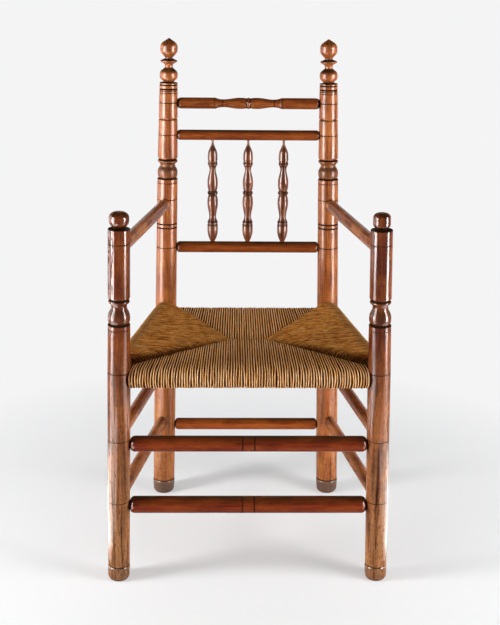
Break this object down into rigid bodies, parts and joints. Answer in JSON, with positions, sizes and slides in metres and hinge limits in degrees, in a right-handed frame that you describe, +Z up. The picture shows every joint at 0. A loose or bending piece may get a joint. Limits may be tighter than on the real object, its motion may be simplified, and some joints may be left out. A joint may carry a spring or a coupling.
{
  "type": "spindle back chair",
  "caption": "Turned wooden armchair with a spindle back, tall finials, plain stick arms and stretchers, and a woven rush seat.",
  "frame": {"origin": "on the floor, at the middle of the chair's width and depth", "axes": "+Z up from the floor, -Y towards the front of the chair, +X to the right of someone facing the chair"},
  "size_m": [0.5708, 0.4176, 1.0623],
  "materials": {
    "posts": "glossy",
    "sticks": "glossy",
    "spindles": "glossy",
    "seat_rails": "unfinished",
    "rush": "satin",
    "stuffing": "matte"
  },
  "bodies": {
    "root": {"front_post_left": "posts", "front_post_right": "posts", "back_post_left": "posts", "back_post_right": "posts", "crest_rail": "sticks", "upper_spindle_rail": "sticks", "lower_spindle_rail": "sticks", "arm_left": "sticks", "arm_right": "sticks", "front_stretcher_upper": "sticks", "front_stretcher_lower": "sticks", "back_stretcher": "sticks", "side_stretcher_upper_left": "sticks", "side_stretcher_upper_right": "sticks", "side_stretcher_lower_left": "sticks", "side_stretcher_lower_right": "sticks", "spindle_left": "spindles", "spindle_middle": "spindles", "spindle_right": "spindles", "seat_rail_front": "seat_rails", "seat_rail_back": "seat_rails", "seat_rail_left": "seat_rails", "seat_rail_right": "seat_rails", "rush_seat": "rush", "seat_stuffing_front": "stuffing", "seat_stuffing_back": "stuffing", "seat_stuffing_left": "stuffing", "seat_stuffing_right": "stuffing"}
  },
  "joints": []
}
